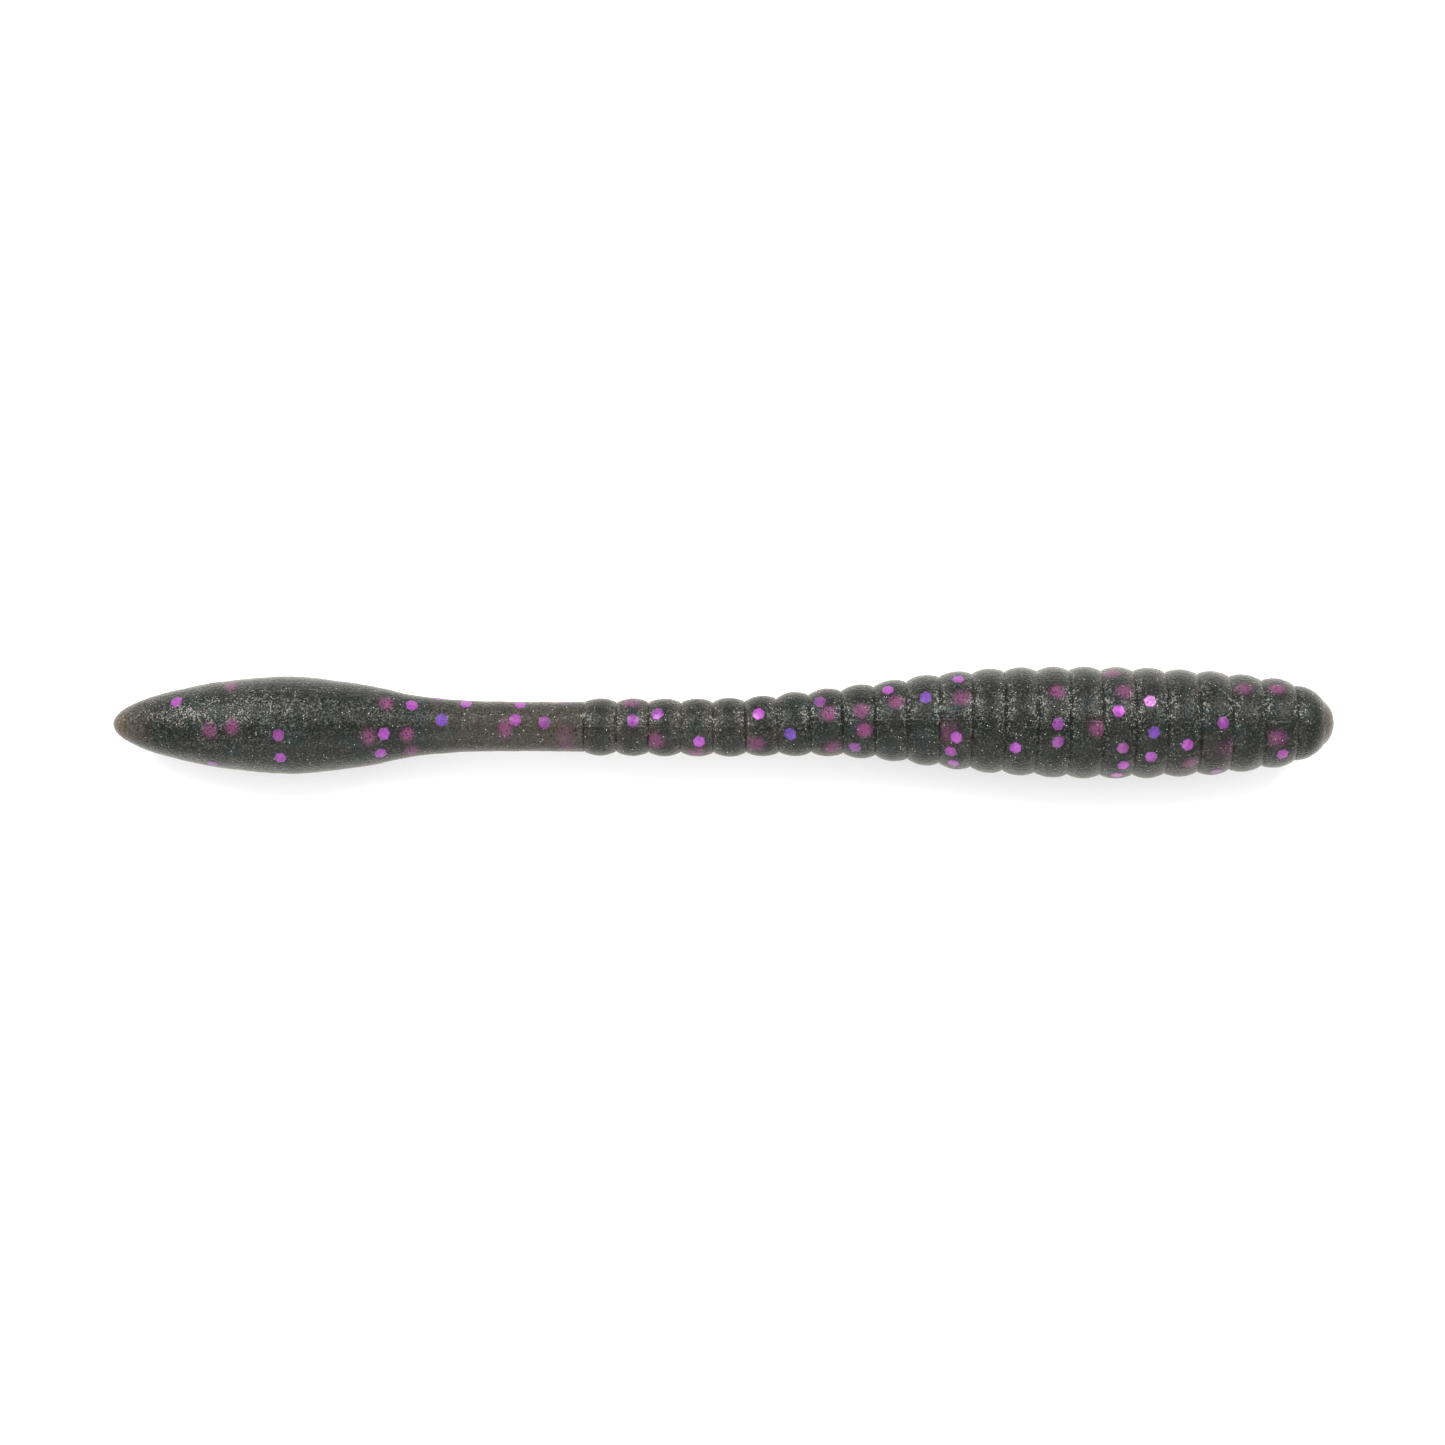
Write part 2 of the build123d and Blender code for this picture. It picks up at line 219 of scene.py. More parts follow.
def plain_radius(stations, settings):
    """Radius of the skin before its fine unevenness. The nose is a dome with a swelling behind it.
    A ring is a parabola between two straight grooves, whose sharp foot is rounded. The tail is a
    smooth curve through its swell's points, taken on the squares of the radii so that its end is blunt."""
    rise, rounding = settings.ring_rise, settings.groove_rounding
    grooves = groove_radii(rise)
    knots = LINE_STATIONS[1:2 + len(RINGS)]
    s = np.asarray(stations, float)
    k = np.clip(np.searchsorted(knots, s, side="right") - 1, 0, len(RINGS) - 1)
    pitch = knots[k + 1] - knots[k]
    share = np.clip((s - knots[k]) / pitch, 0, 1)
    nearest = np.minimum(share, 1 - share) * pitch
    rounded = np.sqrt(nearest**2 + rounding**2) / pitch
    rings = grooves[k] + (grooves[k + 1] - grooves[k]) * share + 4 * rise * rounded * (1 - rounded)

    shoulder = (settings.dome_length, settings.dome_radius)
    rim = (settings.dome_length + SWELLING_BEHIND, settings.rim_radius)
    back = (NOSE_END, grooves[0] - SWELLING_DROP)
    dome_top = (DOME_TOP[0], DOME_TOP[1] * settings.dome_radius)
    dome = circle_height((0.0, 0.0), dome_top, shoulder, np.minimum(s, shoulder[0]))
    swelling = circle_height(shoulder, rim, back, s)
    rounded = settings.shoulder_rounding * np.clip(s / (0.6 * MM), 0, 1)
    nose = (dome + swelling + np.sqrt((dome - swelling) ** 2 + rounded**2)) / 2

    growth = BELLY_RADIUS - NECK_RADIUS
    squares = [(NECK_RADIUS + growth * swell) ** 2 for _, swell in TAIL_SWELL[:-1]] + [0.0]
    shares = [point[0] for point in TAIL_SWELL]
    tail_share = np.clip((s - NECK_START) / TAIL_LENGTH, 0, 1)
    tail = np.sqrt(np.maximum(smooth(shares, squares, tail_share), 0.0))
    foot = rise * 4 * (rounding / pitch)
    tail = tail + foot * np.exp(-(tail_share * TAIL_LENGTH / (4 * rounding)) ** 2)
    return np.where(s < NOSE_END, nose, np.where(s < NECK_START, rings, tail))


def unevenness(stations, turns):
    """Slow swells of the soft moulding, from -1 to 1: a sum of waves along and round the worm."""
    s = stations / MM
    return (
        0.4 * np.sin(0.71 * s + 2 * turns + 0.4) + 0.3 * np.sin(1.37 * s - 3 * turns + 1.9)
        + 0.2 * np.sin(2.3 * s + 5 * turns) + 0.1 * np.sin(3.9 * s - 7 * turns + 2.2)
    )


def parting_ridge(stations, turns, radii, settings):
    """Height of the fine flash where the mould's halves met, along the top and the underside: a
    bell curve across, whose height comes and goes along the worm."""
    across = radii * np.abs(np.sin(turns))
    bell = np.exp(-(across / settings.parting_width) ** 2)
    s = stations / MM
    strength = 0.6 + 0.25 * np.sin(0.23 * s + 0.8) + 0.15 * np.sin(1.7 * s)
    strength = strength * np.where(stations < NECK_START, 1.0, 0.4)
    return settings.parting_height * bell * strength


def groove_foot(stations, width):
    """1 at a groove, fading to 0 in a bell curve of the half width to either side."""
    knots = LINE_STATIONS[1:2 + len(RINGS)]
    nearest = np.abs(np.asarray(stations)[..., None] - knots).min(-1)
    return np.exp(-((nearest / width) ** 2))


def skin_radius(stations, turns, settings):
    """Radius of the finished skin. The unevenness fades where the worm ends in a point."""
    radii = plain_radius(stations, settings)
    fade = np.clip(radii / (2 * MM), 0, 1)
    ridge = parting_ridge(stations, turns, radii, settings)
    radii = radii - settings.slit_depth * groove_foot(stations, settings.slit_width)
    return radii + fade * (settings.unevenness * unevenness(stations, turns) + ridge)


def groove_shade_and_seam_mask(stations, turns, settings):
    """Painted shade in a groove's foot, and a dark line along the parting lines: 1 there, fading to 0 in a
    bell curve beside them.
    """
    foot = groove_foot(stations, settings.groove_shade_width)
    radii = plain_radius(stations, settings)
    seam = parting_ridge(stations, turns, radii, settings) / settings.parting_height
    return np.maximum(foot, 0.5 * seam)


def bloom_and_highlight(stations, turns, settings):
    """Where the pale bloom lies, from 0 to 1: partly a dry bloom and partly a painted highlight, a little
    way round from the top on the key lights' side: bell curves beside the grooves and over the tail's rear,
    with a faint rest elsewhere."""
    beside = groove_foot(stations, settings.bloom_highlight_width)
    rear = (stations - NECK_START) / TAIL_LENGTH
    tail = np.where(rear > 0, 0.25 + 0.6 * np.exp(-(((rear - 0.8) / 0.16) ** 2)), 0.0)
    round_ = np.exp(-(((wrapped(turns) - settings.bloom_highlight_turn) / settings.bloom_highlight_spread) ** 2))
    return np.clip(np.maximum(beside, tail) * (0.22 + 0.78 * round_), 0, 1)


def thinness(stations, turns, settings):
    """How thin the worm is, from 0 where it is a fifth wider than its neck or more, to 1 at a point:
    there a lighter colour paints the light that shines through less smoke."""
    radii = plain_radius(stations, settings) + 0 * turns
    return np.clip(1 - radii / (NECK_RADIUS * 1.2), 0, 1)


def wrapped(turns):
    """Turns brought to between minus and plus a half turn."""
    return (turns + math.pi) % (2 * math.pi) - math.pi


def skin_points(stations, turns, settings, lift=0.0):
    """Points of the skin: the middle point, and the radius out at a turn from up towards +Y."""
    middles, _, side, up = cross_frame(stations)
    radii = skin_radius(stations, turns, settings) + lift
    out = np.cos(turns)[..., None] * up + np.sin(turns)[..., None] * side
    return middles + radii[..., None] * out


def skin_normals(stations, turns, settings):
    """Outward normals: the cross product of the skin's two slopes over very short steps."""
    step, swing = 0.01 * MM, 0.002
    inner = np.clip(stations, 2 * step, LENGTH - 2 * step)
    along = skin_points(inner + step, turns, settings) - skin_points(inner - step, turns, settings)
    round_ = skin_points(inner, turns + swing, settings) - skin_points(inner, turns - swing, settings)
    normals = np.cross(round_, along)
    return normals / np.maximum(np.linalg.norm(normals, axis=-1, keepdims=True), 1e-12)


# ---------------------------------------------------------------- meshes

def grid_faces(rows, columns):
    """Four-sided faces of a grid that closes on itself round its columns."""
    row = np.arange(rows - 1)[:, None] * columns
    column = np.arange(columns)[None]
    after = (column + 1) % columns
    faces = np.stack([row + column, row + after, row + columns + after, row + columns + column], -1)
    return faces.reshape(-1, 4)


def new_object(name, points, quads, triangles, material):
    """A smooth-shaded mesh object of the points, its four-sided faces and its three-sided ones."""
    mesh = bpy.data.meshes.new(name)
    faces = quads.tolist() + triangles.tolist()
    mesh.from_pydata(points.reshape(-1, 3).tolist(), [], faces)
    mesh.polygons.foreach_set("use_smooth", np.ones(len(faces), bool))
    mesh.materials.append(material)
    mesh.update()
    piece = bpy.data.objects.new(name, mesh)
    bpy.context.scene.collection.objects.link(piece)
    return piece


def add_attribute(piece, name, kind, field, values):
    """Gives each point of a piece a value of its own, for its material to read."""
    attribute = piece.data.attributes.new(name, kind, "POINT")
    attribute.data.foreach_set(field, np.ascontiguousarray(values, np.float32).ravel())


def around_turns(count):
    """Turns round the worm, closer together along the two parting lines: t less a share of sin 2t
    has its least slope where t is 0 and a half turn."""
    t = np.arange(count) * 2 * math.pi / count
    return t - 0.25 * np.sin(2 * t)


def skin_piece(name, stations, material, flakes, settings, nose=False, tail=False):
    """One stretch of the skin: a grid of stations by turns, closed by a fan at a tip of the worm.
    It carries its own place at rest and the glow of the deep flakes under it for its material."""
    turns = around_turns(settings.columns)
    points = skin_points(stations[:, None], turns[None], settings).reshape(-1, 3)
    normals = skin_normals(stations[:, None], turns[None], settings).reshape(-1, 3)
    quads = grid_faces(len(stations), len(turns))
    triangles = np.empty((0, 3), int)
    ring = np.arange(len(turns))
    if nose or tail:
        station = 0.0 if nose else LENGTH
        middle, ahead, _, _ = cross_frame(np.array([station]))
        points = np.vstack([points, middle])
        normals = np.vstack([normals, ahead if nose else -ahead])
        first = 0 if nose else (len(stations) - 1) * len(turns)
        tip = np.full(len(turns), len(points) - 1)
        pair = [first + ring, first + np.roll(ring, -1)]
        triangles = np.stack([tip] + (pair[::-1] if nose else pair), -1)
    piece = new_object(name, points, quads, triangles, material)
    piece.data.normals_split_custom_set_from_vertices(normals.tolist())
    for kind, found in (("groove_shade_and_seam", groove_shade_and_seam_mask), ("bloom_and_highlight", bloom_and_highlight), ("thin", thinness)):
        values = np.full(len(points), float(kind == "thin"))
        values[:quads.max() + 1] = found(stations[:, None], turns[None], settings).ravel()
        add_attribute(piece, kind, "FLOAT", "value", values)
    add_attribute(piece, "rest_place", "FLOAT_VECTOR", "vector", points / MM)
    add_attribute(piece, "deep_foil", "FLOAT", "value", deep_glow(points, normals, flakes, settings))
    return piece


def spaced(start, end, count, focus=None, sharpness=3.2):
    """Stations from start to end. With a focus, they crowd about it as a hyperbolic sine does."""
    t = np.linspace(-1, 1, count)
    if focus is None:
        return start + (end - start) * (t + 1) / 2
    swing = np.sinh(sharpness * t) / math.sinh(sharpness)
    return np.where(t < 0, focus + (focus - start) * swing, focus + (end - focus) * swing)


# ---------------------------------------------------------------- foil flakes

def loose_parts(points, triangles):
    """A part number for each point: points joined by triangles share the lowest number, which
    spreads from corner to corner until nothing changes."""
    labels = np.arange(len(points))
    while True:
        lowest = labels[triangles].min(1)
        spread = labels.copy()
        np.minimum.at(spread, triangles.ravel(), np.repeat(lowest, 3))
        if (spread == labels).all():
            return labels
        labels = spread


def read_flakes():
    """Every CAD flake: its piece, middle, flat directions, size, station, turn and depth below the skin."""
    flakes = []
    for piece in PIECES:
        node = frame["nodes"][f"flakes_{piece}"]
        mesh = node.data
        mesh.calc_loop_triangles()
        corners = np.empty(len(mesh.vertices) * 3, np.float32)
        mesh.vertices.foreach_get("co", corners)
        corners = corners.reshape(-1, 3).astype(float)
        triangles = np.empty(len(mesh.loop_triangles) * 3, np.int32)
        mesh.loop_triangles.foreach_get("vertices", triangles)
        keys, same = np.unique(np.round(corners / CORNER_WELD).astype(int), axis=0, return_inverse=True)
        places = keys * CORNER_WELD
        triangles = same.reshape(-1)[triangles].reshape(-1, 3)
        labels = loose_parts(places, triangles)
        for label in np.unique(labels):
            own = places[labels == label]
            middle = own.mean(0)
            _, _, axes = np.linalg.svd(own - middle)
            station, turn, away = to_worm(middle[None])
            arm = own[np.argmax(np.linalg.norm(own - middle, axis=1))] - middle
            arm -= axes[2] * (arm @ axes[2])
            reach = np.linalg.norm(arm)
            flakes.append({
                "piece": piece, "middle": middle, "normal": axes[2], "arm": arm / reach, "reach": reach,
                "station": float(station[0]), "turn": float(turn[0]), "away": float(away[0]),
            })
    return flakes


def flake_depths(flakes, settings):
    """How far each flake's middle lies below the skin."""
    stations = np.array([flake["station"] for flake in flakes])
    turns = np.array([flake["turn"] for flake in flakes])
    away = np.array([flake["away"] for flake in flakes])
    return skin_radius(stations, turns, settings) - away


def hexagon_reach(angles, reach):
    """Distance from the middle of a six-sided flake to its edge, in each direction from a corner."""
    apothem = reach * math.cos(math.pi / 6)
    return apothem / np.cos((angles % (math.pi / 3)) - math.pi / 6)


def deep_glow(points, normals, flakes, settings):
    """How much of the deep flakes shows through at points of the skin, from 0 to 1. Each point is
    taken down its normal to the flake's depth and measured against the flake's outline there: the
    edge is as soft, and the glow as weak, as the plastic over it is deep."""
    glow = np.zeros(len(points))
    for flake, depth in zip(flakes, flake_depths(flakes, settings)):
        reach = GLOW_REACH + depth
        near = ((points - flake["middle"]) ** 2).sum(1) < reach**2
        if depth < settings.shallow_depth or not near.any():
            continue
        below = points[near] - normals[near] * depth - flake["middle"]
        off = below @ flake["normal"]
        flat = below - np.outer(off, flake["normal"])
        angles = np.arctan2(flat @ np.cross(flake["normal"], flake["arm"]), flat @ flake["arm"])
        inside = hexagon_reach(angles, flake["reach"]) - np.linalg.norm(flat, axis=1)
        softness = SOFT_EDGE[0] + SOFT_EDGE[1] * depth
        shown = 1 / (1 + np.exp(-np.clip(inside / softness, -30, 30)))
        facing = np.clip(4 * (normals[near] @ flake["normal"]) ** 2, 0, 1)
        fade = math.exp(-depth / settings.glow_depth) * np.exp(-((off / GLOW_TILT) ** 2))
        glow[near] = np.maximum(glow[near], shown * facing * fade)
    return glow


def foil_chip(flake, settings):
    """A shallow flake pressed to the skin: rows from its middle out to its edge, down the edge and back
    to the middle of its underside, in twelve directions. Each point goes to the skin above it."""
    shares = np.array([0.0, 0.45, 0.86, 0.97, 1.0, 1.0, 0.0])
    lifts = np.array([1.0, 1.0, 1.0, 0.9, 0.4, -3.0, -3.0]) * settings.foil_lift
    angles = np.arange(12) * math.pi / 6
    reach = hexagon_reach(angles, flake["reach"])
    other = np.cross(flake["normal"], flake["arm"])
    spokes = np.cos(angles)[:, None] * flake["arm"] + np.sin(angles)[:, None] * other
    flat = flake["middle"] + (shares[:, None] * reach)[..., None] * spokes
    stations, turns, _ = to_worm(flat.reshape(-1, 3))
    lift = np.repeat(lifts, len(angles))
    return skin_points(stations, turns, settings, lift).reshape(len(shares), len(angles), 3)


def foil_colour(flake, depth, draw, settings):
    """A flake's colour, dimmer the more plastic lies over it, with a little of its own variation."""
    colour = np.array(settings.magenta)
    # some flakes take violet foil; the pink one is a painted glint
    for group, other in ((VIOLET_FLAKES, settings.violet), (GLINTING_FLAKES, settings.pink_glint)):
        for piece, degrees in group:
            if flake["piece"] == piece and abs(math.degrees(flake["turn"]) - degrees) < COLOUR_REACH:
                colour = np.array(other)
    bright = draw.uniform(0.5, 1.0) * math.exp(-depth / PLASTIC_DIMMING)
    return colour * bright * draw.uniform(0.92, 1.08, 3)


# ---------------------------------------------------------------- materials

def new_material(name):
    """A new material, with its node tree and its shader."""
    material = bpy.data.materials.new(name)
    material.use_nodes = True
    tree = material.node_tree
    return material, tree, tree.nodes["Principled BSDF"]


def node(tree, kind, inputs=None, **settings):
    """A shader node with settings, and inputs given as values or as other nodes' output sockets."""
    made = tree.nodes.new(kind)
    for name, value in settings.items():
        setattr(made, name, value)
    for key, value in (inputs or {}).items():
        if isinstance(value, bpy.types.NodeSocket):
            tree.links.new(value, made.inputs[key])
        else:
            made.inputs[key].default_value = value
    return made


def ramp(tree, source, low, high):
    """0 where the source is at low and 1 where it is at high, smooth between."""
    found = node(tree, "ShaderNodeMapRange", {"Value": source, "From Min": low, "From Max": high},
                 interpolation_type="SMOOTHSTEP")
    return found.outputs["Result"]


def mixed(tree, share, first, second, blend="MIX"):
    """The first colour turning into the second as the share goes from 0 to 1."""
    made = node(tree, "ShaderNodeMix", {"Factor": share}, data_type="RGBA", blend_type=blend)
    for key, value in ((6, first), (7, second)):
        if isinstance(value, bpy.types.NodeSocket):
            tree.links.new(value, made.inputs[key])
        else:
            made.inputs[key].default_value = (*value, 1.0)
    return made.outputs[2]


def product(tree, first, second):
    """The first times the second."""
    return node(tree, "ShaderNodeMath", {0: first, 1: second}, operation="MULTIPLY").outputs[0]


def noise(tree, place, scale, detail=2.0, roughness=0.5):
    """Cloudy noise from 0 to 1. The scale is in clouds to a unit of the place."""
    found = node(tree, "ShaderNodeTexNoise", {
        "Vector": place, "Scale": scale, "Detail": detail, "Roughness": roughness,
    })
    return found.outputs["Fac"]


def grains(tree, place, scale, share, size):
    """Round grains: cells of the scale, of which the share holds a grain of the size, at 1 inside it."""
    cells = node(tree, "ShaderNodeTexVoronoi", {"Vector": place, "Scale": scale, "Randomness": 1.0})
    chosen = node(tree, "ShaderNodeSeparateColor", {"Color": cells.outputs["Color"]})
    picked = node(tree, "ShaderNodeMath", {0: chosen.outputs["Red"], 1: share}, operation="LESS_THAN")
    return product(tree, picked.outputs[0], ramp(tree, cells.outputs["Distance"], size, 0.55 * size))


def smoky_plastisol(settings):
    """Dark smoky soft plastic: clouds of green-grey, pepper and silver grains, a dusty bloom that is partly
    a painted highlight, the glow of deep flakes, painted light shining through where the worm is slimmer,
    painted shade in its grooves and dark parting lines, a pale sheen rim where its edges thin out, and a
    fine orange-peel grain. Its patterns lie on the rest places in millimetres."""
    material, tree, shader = new_material("worm_plastic")
    place = node(tree, "ShaderNodeAttribute", attribute_name="rest_place").outputs["Vector"]
    glow = node(tree, "ShaderNodeAttribute", attribute_name="deep_foil").outputs["Fac"]
    groove_shade_and_seam = node(tree, "ShaderNodeAttribute", attribute_name="groove_shade_and_seam").outputs["Fac"]
    clouds = ramp(tree, noise(tree, place, 0.55, 3.0), 0.35, 0.68)
    base = mixed(tree, clouds, tuple(settings.smoke_dark), tuple(settings.smoke_light))
    cool = ramp(tree, noise(tree, place, 0.33, 2.0), 0.5, 0.75)
    base = mixed(tree, cool, base, tuple(settings.smoke_cool))
    # painted light: the slim neck and tips turn lighter, as if lit through the plastic
    thin = node(tree, "ShaderNodeAttribute", attribute_name="thin").outputs["Fac"]
    base = mixed(tree, thin, base, tuple(settings.painted_through_light))
    base = mixed(tree, glow, base, tuple(settings.deep_foil))
    patches = ramp(tree, noise(tree, place, 0.8, 2.0), 0.38, 0.62)
    dust = ramp(tree, noise(tree, place, 3.6, 2.0, 0.8), 0.56, 0.61)
    share = node(tree, "ShaderNodeMapRange", {"Value": patches, "To Min": 0.25, "To Max": 1.0})
    base = mixed(tree, product(tree, dust, share.outputs["Result"]), base, tuple(settings.dust))
    # the bloom is partly a painted highlight, laid a little way round from the top on the key lights' side
    bloom = node(tree, "ShaderNodeAttribute", attribute_name="bloom_and_highlight").outputs["Fac"]
    clump = node(tree, "ShaderNodeMapRange", {
        "Value": noise(tree, place, 1.3, 2.0), "From Min": 0.3, "From Max": 0.7,
        "To Min": 0.68, "To Max": 0.46,
    })
    level = node(tree, "ShaderNodeMath", {0: clump.outputs["Result"], 1: 0.07}, operation="ADD")
    grain = ramp(tree, noise(tree, place, 4.2, 1.0, 0.6), clump.outputs["Result"], level.outputs[0])
    base = mixed(tree, product(tree, grain, bloom), base, tuple(settings.bloom_highlight_tint))
    pepper = grains(tree, place, 2.9, 0.55, 0.42)
    base = mixed(tree, product(tree, pepper, 0.95), base, SPECK_BLACK)
    silver = grains(tree, place, 3.4, 0.07, 0.27)
    base = mixed(tree, silver, base, tuple(settings.silver))
    broken = ramp(tree, noise(tree, place, 0.9, 2.0), 0.35, 0.65)
    # painted shade: each groove's foot is darkened, broken up by clouds, and the parting lines get a fainter
    # dark line
    base = mixed(tree, product(tree, groove_shade_and_seam, broken), base, SHADE_AND_SEAM_BLACK)
    tree.links.new(base, shader.inputs["Base Color"])
    fine = noise(tree, place, 3.2, 2.0, 0.5)
    rough = node(tree, "ShaderNodeMapRange", {"Value": fine, "To Min": 0.12, "To Max": 0.36})
    tree.links.new(rough.outputs["Result"], shader.inputs["Roughness"])
    shader.inputs["IOR"].default_value = 1.25
    shader.inputs["Sheen Weight"].default_value = settings.rim_weight
    shader.inputs["Sheen Roughness"].default_value = settings.rim_roughness
    shader.inputs["Sheen Tint"].default_value = (*settings.rim, 1.0)
    bump = node(tree, "ShaderNodeBump", {"Height": fine, "Strength": 1.0, "Distance": 0.12 * MM})
    tree.links.new(bump.outputs["Normal"], shader.inputs["Normal"])
    return material


def foil(settings):
    """Coloured foil under a skin of plastic: each flake's own colour, mottled, with a fine grain."""
    material, tree, shader = new_material("worm_foil")
    colour = node(tree, "ShaderNodeAttribute", attribute_name="foil_colour").outputs["Color"]
    place = node(tree, "ShaderNodeTexCoord").outputs["Object"]
    mottle = ramp(tree, noise(tree, place, 3000.0, 2.0), 0.35, 0.6)
    dark = mixed(tree, 1.0, colour, SOAKED_FOIL, "MULTIPLY")
    tree.links.new(mixed(tree, mottle, dark, colour), shader.inputs["Base Color"])
    shader.inputs["Metallic"].default_value = 0.25
    shader.inputs["Roughness"].default_value = 0.42
    shader.inputs["Coat Weight"].default_value = 0.25
    shader.inputs["Coat Roughness"].default_value = 0.3
    return material


# ---------------------------------------------------------------- settings and operators

def length(name, description, default):
    """A length that a user can set."""
    return bpy.props.FloatProperty(
        name=name, description=description, default=default, min=0.0, unit="LENGTH", subtype="DISTANCE",
        precision=5,
    )


def tint(name, description, default):
    """A colour that a user can set."""
    return bpy.props.FloatVectorProperty(
        name=name, description=description, default=default, subtype="COLOR", size=3, min=0.0, max=1.0
    )


class WormSettings(bpy.types.PropertyGroup):
    """Sizes and colours of the worm's skin and flakes."""
    ring_rise: length("Ring rise", "How far a ring stands above its grooves", 0.5 * MM)
    groove_rounding: length("Groove rounding", "How round the foot of a groove is", 0.07 * MM)
    slit_depth: length("Slit depth", "How far the sharp foot of a groove cuts in", 0.085 * MM)
    slit_width: length("Slit width", "Half width of that foot", 0.12 * MM)
    shoulder_rounding: length("Shoulder rounding", "How softly the dome meets the swelling", 0.25 * MM)
    dome_length: length("Dome length", "Length of the round front of the nose", 1.3 * MM)
    dome_radius: length("Dome radius", "Radius where the front of the nose ends", 2.75 * MM)
    rim_radius: length("Nose swelling", "Radius of the swelling behind the dome", 4.36 * MM)
    unevenness: length("Unevenness", "Height of the slow swells of the skin", 0.035 * MM)
    parting_height: length("Parting line", "Height of the mould's flash", 0.06 * MM)
    parting_width: length("Parting width", "Half width of the mould's flash", 0.1 * MM)
    columns: bpy.props.IntProperty(name="Columns", description="Faces round the worm", default=320, min=32)
    shallow_depth: length("Shallow", "Flakes nearer the skin than this lie in it", 0.5 * MM)
    glow_depth: length("Glow depth", "Depth at which a deep flake has faded to a third", 1.9 * MM)
    # the width of the painted shade in a groove's foot
    groove_shade_width: length("Crease width", "Half width of the dark line in a groove", 0.15 * MM)
    rim_weight: bpy.props.FloatProperty(
        name="Rim weight", description="Strength of the pale rim", default=0.23, min=0.0, max=1.0)
    rim_roughness: bpy.props.FloatProperty(
        name="Rim roughness", description="How far the pale rim reaches in", default=0.33, min=0.0, max=1.0)
    foil_lift: length("Foil lift", "How far a shallow flake stands out of the skin", 0.02 * MM)
    smoke_dark: tint("Dark smoke", "Colour in the thick dark clouds", (0.003, 0.0048, 0.0036))
    smoke_light: tint("Light smoke", "Colour between the clouds", (0.0075, 0.008, 0.0058))
    smoke_cool: tint("Cool smoke", "Blue-green tinge", (0.004, 0.011, 0.011))
    # painted light shining through the slim neck and tips
    painted_through_light: tint("Thin smoke", "Colour where the worm thins out", (0.12, 0.09, 0.062))
    dust: tint("Dust", "Fine bloom of pale grains", (0.056, 0.054, 0.045))
    # the next four settings place a pale bloom that is partly a painted highlight on the lit side
    bloom_highlight_tint: tint("Frost", "Dry bloom beside the grooves", (0.18, 0.177, 0.16))
    bloom_highlight_width: length("Frost width", "Half width of the bloom beside a groove", 1.05 * MM)
    bloom_highlight_turn: bpy.props.FloatProperty(
        name="Frost turn", description="How far round from the top the bloom lies", default=math.radians(20),
        subtype="ANGLE", unit="ROTATION")
    bloom_highlight_spread: bpy.props.FloatProperty(
        name="Frost spread", description="Half width of the bloom round the worm", default=math.radians(20),
        subtype="ANGLE", unit="ROTATION")
    silver: tint("Silver", "Fine silver glitter", (0.36, 0.36, 0.32))
    rim: tint("Rim", "Tint of the pale rim", (1.0, 0.9, 0.66))
    deep_foil: tint("Deep foil", "Foil seen through thick plastic", (0.15, 0.028, 0.1))
    magenta: tint("Magenta foil", "Most flakes", (0.32, 0.027, 0.34))
    violet: tint("Violet foil", "A few flakes", (0.13, 0.022, 0.34))
    # a painted glint on one flake's foil
    pink_glint: tint("Pink foil", "A flake that catches the light", (1.0, 0.32, 1.0))


class StudioSettings(bpy.types.PropertyGroup):
    """Camera and light."""
    lens: bpy.props.FloatProperty(
        name="Lens", description="Focal length in millimetres", default=100.0, min=10.0)
    view_width: length("View width", "Width of the view at the worm", 180.3 * MM)
    key_size: length("Key size", "Width of each square softbox", 200 * MM)
    key_power: bpy.props.FloatProperty(
        name="Key lights", description="Power of each of the two softboxes", default=2.8, min=0.0,
        unit="POWER")
    fill_power: bpy.props.FloatProperty(
        name="Fill light", description="Power of the wide softbox opposite", default=1.7, min=0.0,
        unit="POWER")
    surroundings: bpy.props.FloatProperty(
        name="Surroundings", description="Strength of the even light from all round", default=1.08, min=0.0)


def middle_of(index):
    """Station halfway along a piece, counted from the nose."""
    return (LINE_STATIONS[index] + LINE_STATIONS[index + 1]) / 2


def bend_skin(index, stations, settings):
    """The skin over one joint, made in place at rest. The CAD piece of the joint's child is hidden."""
    joint = JOINTS[index]
    material = bpy.data.materials.get("worm_plastic") or smoky_plastisol(settings)
    name = f"skin_{joint['parent']}_to_{joint['child']}"
    piece = skin_piece(name, stations, material, all_flakes(), settings)
    ends = smooth(LINE_STATIONS, LINE_POINTS, np.array([stations[0], stations[-1]]))
    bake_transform(piece)
    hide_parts(joint["child"])


FLAKES_READ = []


def all_flakes():
    """The CAD flakes, read once."""
    if not FLAKES_READ:
        FLAKES_READ.extend(read_flakes())
    return FLAKES_READ


class WORM_OT_nose(bpy.types.Operator):
    """Make the nose's skin: a dome and a swelling, back to halfway along the nose"""
    bl_idname = "worm.nose"
    bl_label = "Nose"

    def execute(self, context):
        settings = context.scene.worm
        end = middle_of(0)
        close = end * (1 - np.cos(np.linspace(0.0, math.pi / 2, NOSE_ROWS)))[1:]
        material = smoky_plastisol(settings)
        piece = skin_piece("skin_nose", close, material, all_flakes(), settings, nose=True)
        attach(piece, PIECES[0])
        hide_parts(PIECES[0])
        return {"FINISHED"}


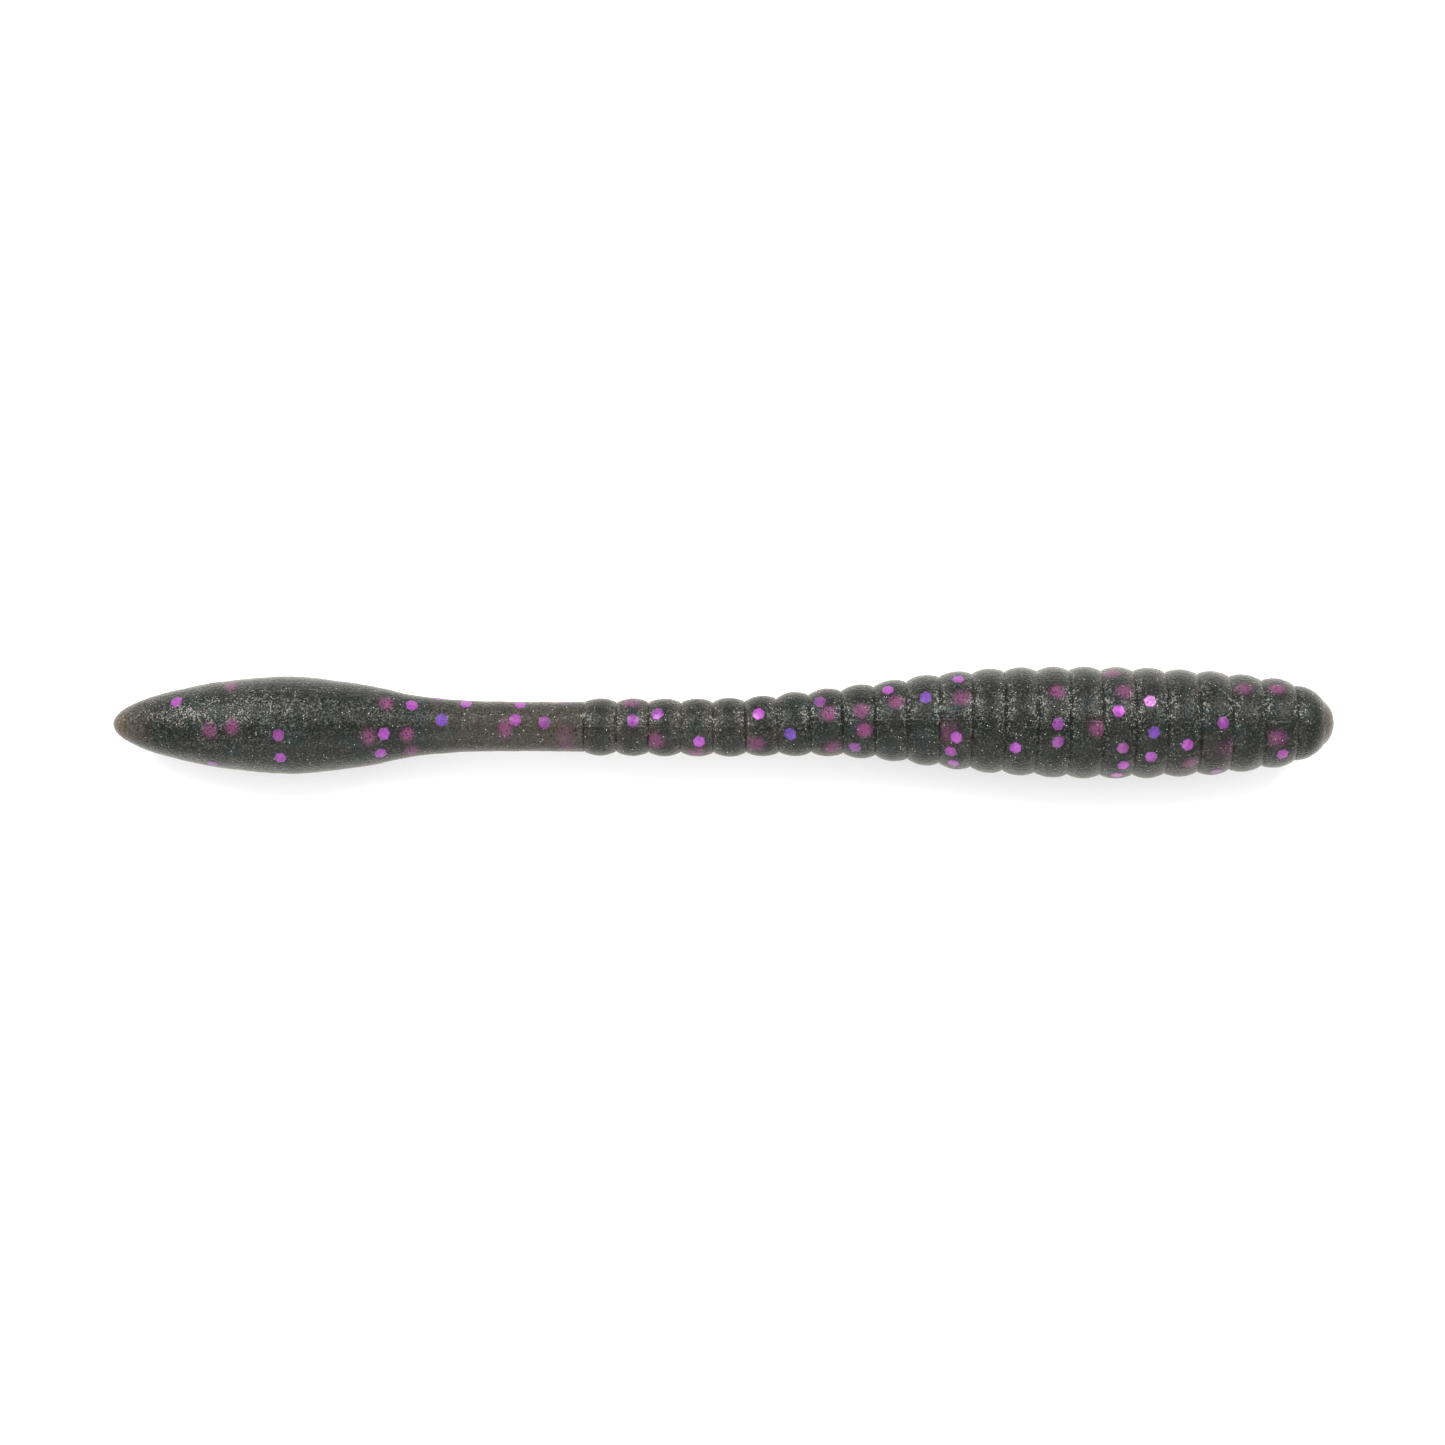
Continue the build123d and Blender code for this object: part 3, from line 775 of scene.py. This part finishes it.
class WORM_OT_rings(bpy.types.Operator):
    """Make the ribbed skin: one stretch over each groove, from crown to crown"""
    bl_idname = "worm.rings"
    bl_label = "Ribbed body"

    def execute(self, context):
        for index in range(len(RINGS) + 1):
            groove = LINE_STATIONS[index + 1]
            stations = spaced(middle_of(index), middle_of(index + 1), RING_ROWS, groove)
            bend_skin(index, stations, context.scene.worm)
        return {"FINISHED"}


class WORM_OT_tail(bpy.types.Operator):
    """Make the plain skin of the neck and the tail, over its joints and round its tip"""
    bl_idname = "worm.tail"
    bl_label = "Neck and tail"

    def execute(self, context):
        for index in range(len(RINGS) + 1, len(JOINTS)):
            start, end = middle_of(index), middle_of(index + 1)
            rows = max(12, int((end - start) / PLAIN_ROW))
            bend_skin(index, spaced(start, end, rows), context.scene.worm)
        start = middle_of(len(JOINTS))
        t = np.sin(np.linspace(0.0, math.pi / 2, TAIL_END_ROWS))[:-1]
        material = bpy.data.materials["worm_plastic"]
        stations = start + (LENGTH - start) * t
        piece = skin_piece("skin_tail_end", stations, material, all_flakes(), context.scene.worm, tail=True)
        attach(piece, PIECES[-1])
        return {"FINISHED"}


class WORM_OT_flakes(bpy.types.Operator):
    """Make the foil flakes that lie in the skin, one group for each piece of the worm"""
    bl_idname = "worm.flakes"
    bl_label = "Foil flakes"

    def execute(self, context):
        settings = context.scene.worm
        material = foil(settings)
        flakes = all_flakes()
        depths = flake_depths(flakes, settings)
        draw = np.random.default_rng(7)
        for name in PIECES:
            chips, colours = [], []
            for flake, depth in zip(flakes, depths):
                if flake["piece"] == name and depth < settings.shallow_depth:
                    chips.append(foil_chip(flake, settings))
                    colours.append(foil_colour(flake, depth, draw, settings))
            if not chips:
                continue
            rows, columns, _ = chips[0].shape
            faces = grid_faces(rows, columns)
            quads = np.concatenate([faces + k * rows * columns for k in range(len(chips))])
            piece = new_object(f"foil_{name}", np.array(chips), quads, np.empty((0, 3), int), material)
            shades = np.ones((len(chips), rows, columns, 4))
            shades[..., :3] = np.array(colours)[:, None, None] * FOIL_SHADES[:, None, None]
            add_attribute(piece, "foil_colour", "FLOAT_COLOR", "color", shades)
            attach(piece, name)
            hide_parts(f"flakes_{name}")
        return {"FINISHED"}


class WORM_OT_studio(bpy.types.Operator):
    """Make the floor, the lights and the camera"""
    bl_idname = "worm.studio"
    bl_label = "Studio"

    def execute(self, context):
        settings = context.scene.worm_studio
        scene = context.scene
        scene.view_settings.view_transform = "Standard"
        material, tree, shader = new_material("pale_floor")
        shader.inputs["Base Color"].default_value = FLOOR_GREY
        shader.inputs["Roughness"].default_value = 0.7
        half = FLOOR_HALF
        corners = np.array([(-half, -half, 0), (half, -half, 0), (half, half, 0), (-half, half, 0)], float)
        floor = new_object("floor", corners, np.array([[0, 1, 2, 3]]), np.empty((0, 3), int), material)
        for name, place in KEY_PLACES:
            softbox(name, place, settings.key_size, settings.key_power)
        softbox("fill", FILL_PLACE, FILL_SIZE, settings.fill_power)
        world = bpy.data.worlds.new("studio")
        world.use_nodes = True
        background = world.node_tree.nodes["Background"]
        background.inputs["Color"].default_value = (1.0, 1.0, 1.0, 1.0)
        background.inputs["Strength"].default_value = settings.surroundings
        scene.world = world
        camera = bpy.data.cameras.new("camera")
        camera.lens = settings.lens
        camera.sensor_width = SENSOR_WIDTH
        eye = bpy.data.objects.new("camera", camera)
        eye.location = (0.0, 0.0, settings.view_width * settings.lens / SENSOR_WIDTH + EYE_LIFT)
        scene.collection.objects.link(eye)
        scene.camera = eye
        return {"FINISHED"}


def softbox(name, place, size, power):
    """A square light that faces the worm."""
    light = bpy.data.lights.new(name, "AREA")
    light.shape = "SQUARE"
    light.size = size
    light.energy = power
    lamp = bpy.data.objects.new(name, light)
    lamp.location = place
    lamp.rotation_euler = (-Vector(place)).to_track_quat("-Z", "Y").to_euler()
    bpy.context.scene.collection.objects.link(lamp)


class WORM_PT_panel(bpy.types.Panel):
    """The worm's makers, in order"""
    bl_idname = "WORM_PT_panel"
    bl_label = "Ribbed soft worm"
    bl_space_type = "VIEW_3D"
    bl_region_type = "UI"
    bl_category = "Worm"

    def draw(self, context):
        for operator in OPERATORS:
            self.layout.operator(operator.bl_idname)
        for settings in (context.scene.worm, context.scene.worm_studio):
            for name in settings.__annotations__:
                self.layout.prop(settings, name)


OPERATORS = (WORM_OT_nose, WORM_OT_rings, WORM_OT_tail, WORM_OT_flakes, WORM_OT_studio)
CLASSES = (WormSettings, StudioSettings, *OPERATORS, WORM_PT_panel)


def register():
    for item in CLASSES:
        bpy.utils.register_class(item)
    bpy.types.Scene.worm = bpy.props.PointerProperty(type=WormSettings)
    bpy.types.Scene.worm_studio = bpy.props.PointerProperty(type=StudioSettings)


def unregister():
    del bpy.types.Scene.worm_studio
    del bpy.types.Scene.worm
    for item in reversed(CLASSES):
        bpy.utils.unregister_class(item)


def main():
    register()
    bpy.ops.worm.nose()
    bpy.ops.worm.rings()
    bpy.ops.worm.tail()
    bpy.ops.worm.flakes()
    bpy.ops.worm.studio()


if __name__ == "__main__":
    main()
